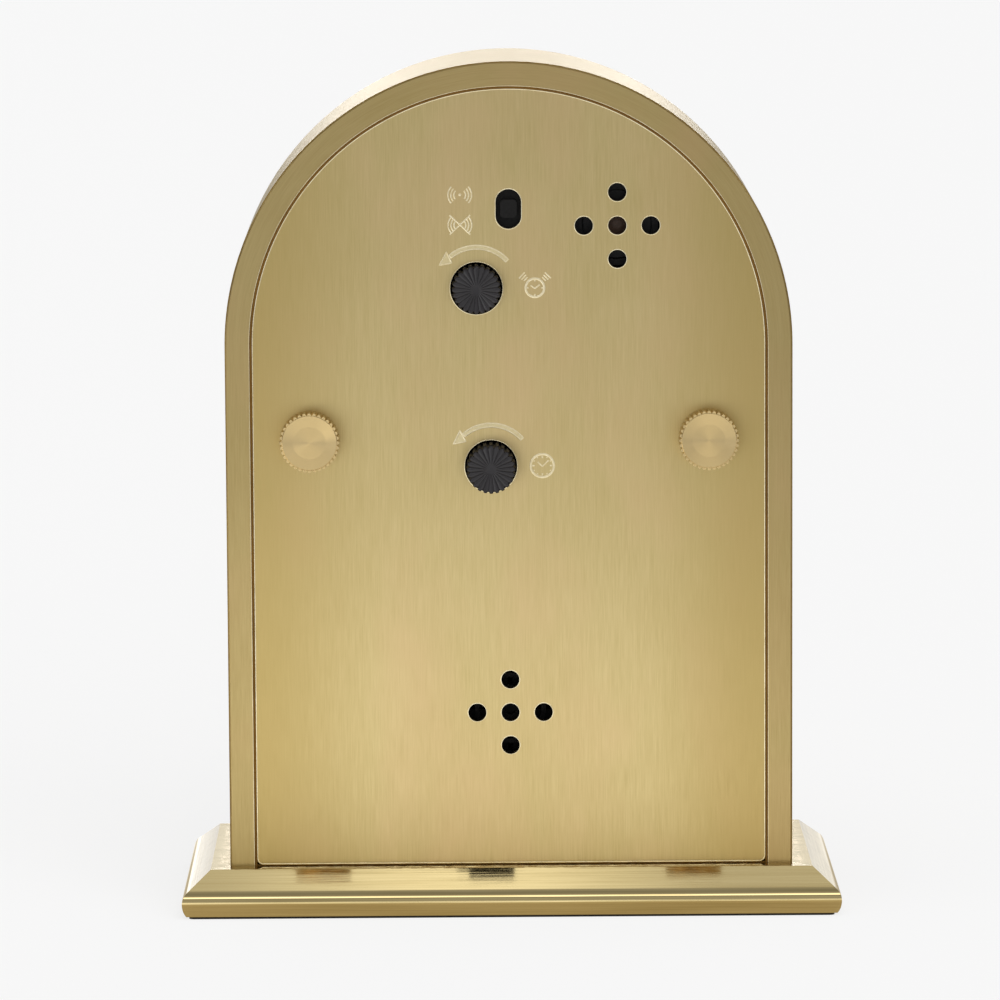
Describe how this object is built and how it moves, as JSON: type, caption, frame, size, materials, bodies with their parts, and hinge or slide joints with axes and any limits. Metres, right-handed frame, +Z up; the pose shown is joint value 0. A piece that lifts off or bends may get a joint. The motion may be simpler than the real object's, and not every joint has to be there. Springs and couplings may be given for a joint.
{
  "type": "mantel alarm clock",
  "caption": "Arched brass mantel alarm clock on a bevelled base, with inset screw-fixed back plate, setting knobs, alarm switch and vented speaker.",
  "frame": {"origin": "centre of the felt's underside, on the surface that the clock stands on", "axes": "+Z up, the dial faces -Y, the back plate with its knobs faces +Y, +X to the right seen from the dial"},
  "size_m": [0.127, 0.059, 0.1643],
  "materials": {
    "case_brass": "solid brass, brushed, clear lacquer",
    "plate_brass": "brass sheet, fine vertical brushing, clear lacquer",
    "base_brass": "moulded brass bar, polished bevel, brushed face",
    "screw_brass": "turned brass, straight knurl",
    "inner_brass": "plain turned brass",
    "black_plastic": "moulded ABS, fine satin",
    "knob_plastic": "moulded ABS, fluted",
    "gear_plastic": "moulded acetal",
    "steel": "plated steel",
    "felt": "pressed wool felt",
    "glass": "flat mineral glass",
    "dial_paint": "aluminium sheet, satin ivory lacquer",
    "ring_brass": "satin brass",
    "hand_metal": "stamped aluminium, black lacquer",
    "alarm_hand_metal": "stamped aluminium, gold lacquer",
    "rubber": "moulded rubber",
    "magnet": "plastic-bonded ferrite",
    "copper_wire": "enamelled copper winding",
    "board": "glass-epoxy laminate",
    "buzzer_disc": "brass sounder disc, dulled",
    "cell_wrap": "steel can in a plain film wrap",
    "cone_paper": "pressed paper pulp"
  },
  "bodies": {
    "root": {"base_plinth": "base_brass", "base_felt": "felt", "case_screws": "steel", "case_shell": "case_brass", "screw_block_left": "inner_brass", "screw_block_right": "inner_brass", "motor_stator": "steel", "motor_coil": "copper_wire", "train_front_plate": "black_plastic", "train_rear_plate": "black_plastic", "train_pillars": "inner_brass", "movement_front_plate": "black_plastic", "movement_rear_case": "black_plastic", "movement_screws": "steel", "shaft_bush": "inner_brass", "bush_washer": "steel", "bush_nut": "inner_brass", "circuit_board": "board", "crystal_can": "steel", "switch_body": "black_plastic", "buzzer": "black_plastic", "buzzer_dome": "buzzer_disc", "battery_holder": "black_plastic", "battery_cell": "cell_wrap", "battery_contact_negative": "steel", "battery_contact_positive": "steel", "speaker_box": "black_plastic", "speaker_screws": "steel", "speaker_grille": "black_plastic", "speaker_basket": "steel", "speaker_cone": "cone_paper", "bezel": "ring_brass", "lens": "glass", "lens_gasket": "rubber", "dial_ring": "ring_brass", "dial_plate": "dial_paint", "dial_screws": "steel"},
    "back_plate": {"back_plate": "plate_brass"},
    "captive_ring_left": {"captive_ring_left": "steel"},
    "captive_ring_right": {"captive_ring_right": "steel"},
    "thumb_screw_left": {"thumb_screw_left": "screw_brass"},
    "thumb_screw_right": {"thumb_screw_right": "screw_brass"},
    "switch_slider": {"switch_slider": "knob_plastic"},
    "minute_hand": {"minute_hand": "hand_metal", "cannon_pinion": "gear_plastic"},
    "hour_hand": {"hour_hand": "hand_metal", "hour_wheel": "gear_plastic"},
    "motion_wheel": {"motion_wheel": "gear_plastic"},
    "time_set_knob": {"time_set_knob": "knob_plastic", "time_set_arbor": "gear_plastic"},
    "alarm_set_knob": {"alarm_set_knob": "knob_plastic", "alarm_set_arbor": "gear_plastic"},
    "alarm_hand": {"alarm_hand": "alarm_hand_metal", "alarm_wheel": "gear_plastic"},
    "second_hand": {"second_hand": "hand_metal", "second_wheel": "gear_plastic"},
    "third_wheel": {"third_wheel": "gear_plastic"},
    "centre_wheel": {"centre_wheel": "gear_plastic"},
    "fifth_wheel": {"fifth_wheel": "gear_plastic"},
    "motor_rotor": {"motor_rotor": "magnet"}
  },
  "joints": [
    {"name": "back_plate_lift", "type": "slide", "parent": "root", "child": "back_plate", "axis": [0, 1, 0], "range_m": [0, 0.03]},
    {"name": "captive_ring_left_travel", "type": "slide", "parent": "back_plate", "child": "captive_ring_left", "axis": [0, 1, 0], "range_m": [0, 0.0042]},
    {"name": "thumb_screw_left_turn", "type": "hinge", "parent": "captive_ring_left", "child": "thumb_screw_left", "pos_m": [-0.0382, 0.0206, 0.0919], "axis": [0, 1, 0], "range_deg": [0, 2161]},
    {"name": "captive_ring_right_travel", "type": "slide", "parent": "back_plate", "child": "captive_ring_right", "axis": [0, 1, 0], "range_m": [0, 0.0042]},
    {"name": "thumb_screw_right_turn", "type": "hinge", "parent": "captive_ring_right", "child": "thumb_screw_right", "pos_m": [0.0382, 0.0206, 0.0919], "axis": [0, 1, 0], "range_deg": [0, 2161]},
    {"name": "alarm_switch_slide", "type": "slide", "parent": "root", "child": "switch_slider", "axis": [0, 0, 1], "range_m": [-0.0017, 0.0017]},
    {"name": "minute_hand_turn", "type": "hinge", "parent": "root", "child": "minute_hand", "pos_m": [0, -0.0196, 0.10992], "axis": [0, 1, 0], "continuous": true},
    {"name": "hour_hand_turn", "type": "hinge", "parent": "root", "child": "hour_hand", "pos_m": [0, -0.0187, 0.10992], "axis": [0, 1, 0], "continuous": true},
    {"name": "motion_wheel_turn", "type": "hinge", "parent": "root", "child": "motion_wheel", "pos_m": [0.00142, -0.009, 0.10044], "axis": [0, 1, 0], "continuous": true},
    {"name": "time_set_turn", "type": "hinge", "parent": "root", "child": "time_set_knob", "pos_m": [0.0035, 0.0196, 0.0866], "axis": [0, 1, 0], "continuous": true},
    {"name": "alarm_set_turn", "type": "hinge", "parent": "root", "child": "alarm_set_knob", "pos_m": [0.0061, 0.0196, 0.1209], "axis": [0, 1, 0], "continuous": true},
    {"name": "alarm_hand_turn", "type": "hinge", "parent": "root", "child": "alarm_hand", "pos_m": [0, -0.0178, 0.10992], "axis": [0, 1, 0], "continuous": true},
    {"name": "second_hand_turn", "type": "hinge", "parent": "root", "child": "second_hand", "pos_m": [0, -0.0205, 0.10992], "axis": [0, 1, 0], "continuous": true},
    {"name": "third_wheel_turn", "type": "hinge", "parent": "root", "child": "third_wheel", "pos_m": [-0.00827, -0.005, 0.10847], "axis": [0, 1, 0], "continuous": true},
    {"name": "centre_wheel_turn", "type": "hinge", "parent": "root", "child": "centre_wheel", "pos_m": [0, -0.0063, 0.10992], "axis": [0, 1, 0], "continuous": true},
    {"name": "fifth_wheel_turn", "type": "hinge", "parent": "root", "child": "fifth_wheel", "pos_m": [0.00736, -0.0024, 0.10568], "axis": [0, 1, 0], "continuous": true},
    {"name": "motor_rotor_turn", "type": "hinge", "parent": "root", "child": "motor_rotor", "pos_m": [0.01051, -0.0006, 0.10022], "axis": [0, 1, 0], "continuous": true}
  ],
  "couplings": [
    {"joint": "thumb_screw_left_turn", "follows": "captive_ring_left_travel", "rad_per_m": 8976},
    {"joint": "thumb_screw_right_turn", "follows": "captive_ring_right_travel", "rad_per_m": 8976},
    {"joint": "motion_wheel_turn", "follows": "minute_hand_turn", "ratio": -0.33333},
    {"joint": "hour_hand_turn", "follows": "minute_hand_turn", "ratio": 0.083333},
    {"joint": "time_set_turn", "follows": "minute_hand_turn", "ratio": 0.35294},
    {"joint": "alarm_hand_turn", "follows": "alarm_set_turn", "ratio": -0.66667},
    {"joint": "third_wheel_turn", "follows": "second_hand_turn", "ratio": -0.13333},
    {"joint": "centre_wheel_turn", "follows": "second_hand_turn", "ratio": 0.016667},
    {"joint": "fifth_wheel_turn", "follows": "second_hand_turn", "ratio": -5},
    {"joint": "motor_rotor_turn", "follows": "second_hand_turn", "ratio": 30}
  ]
}
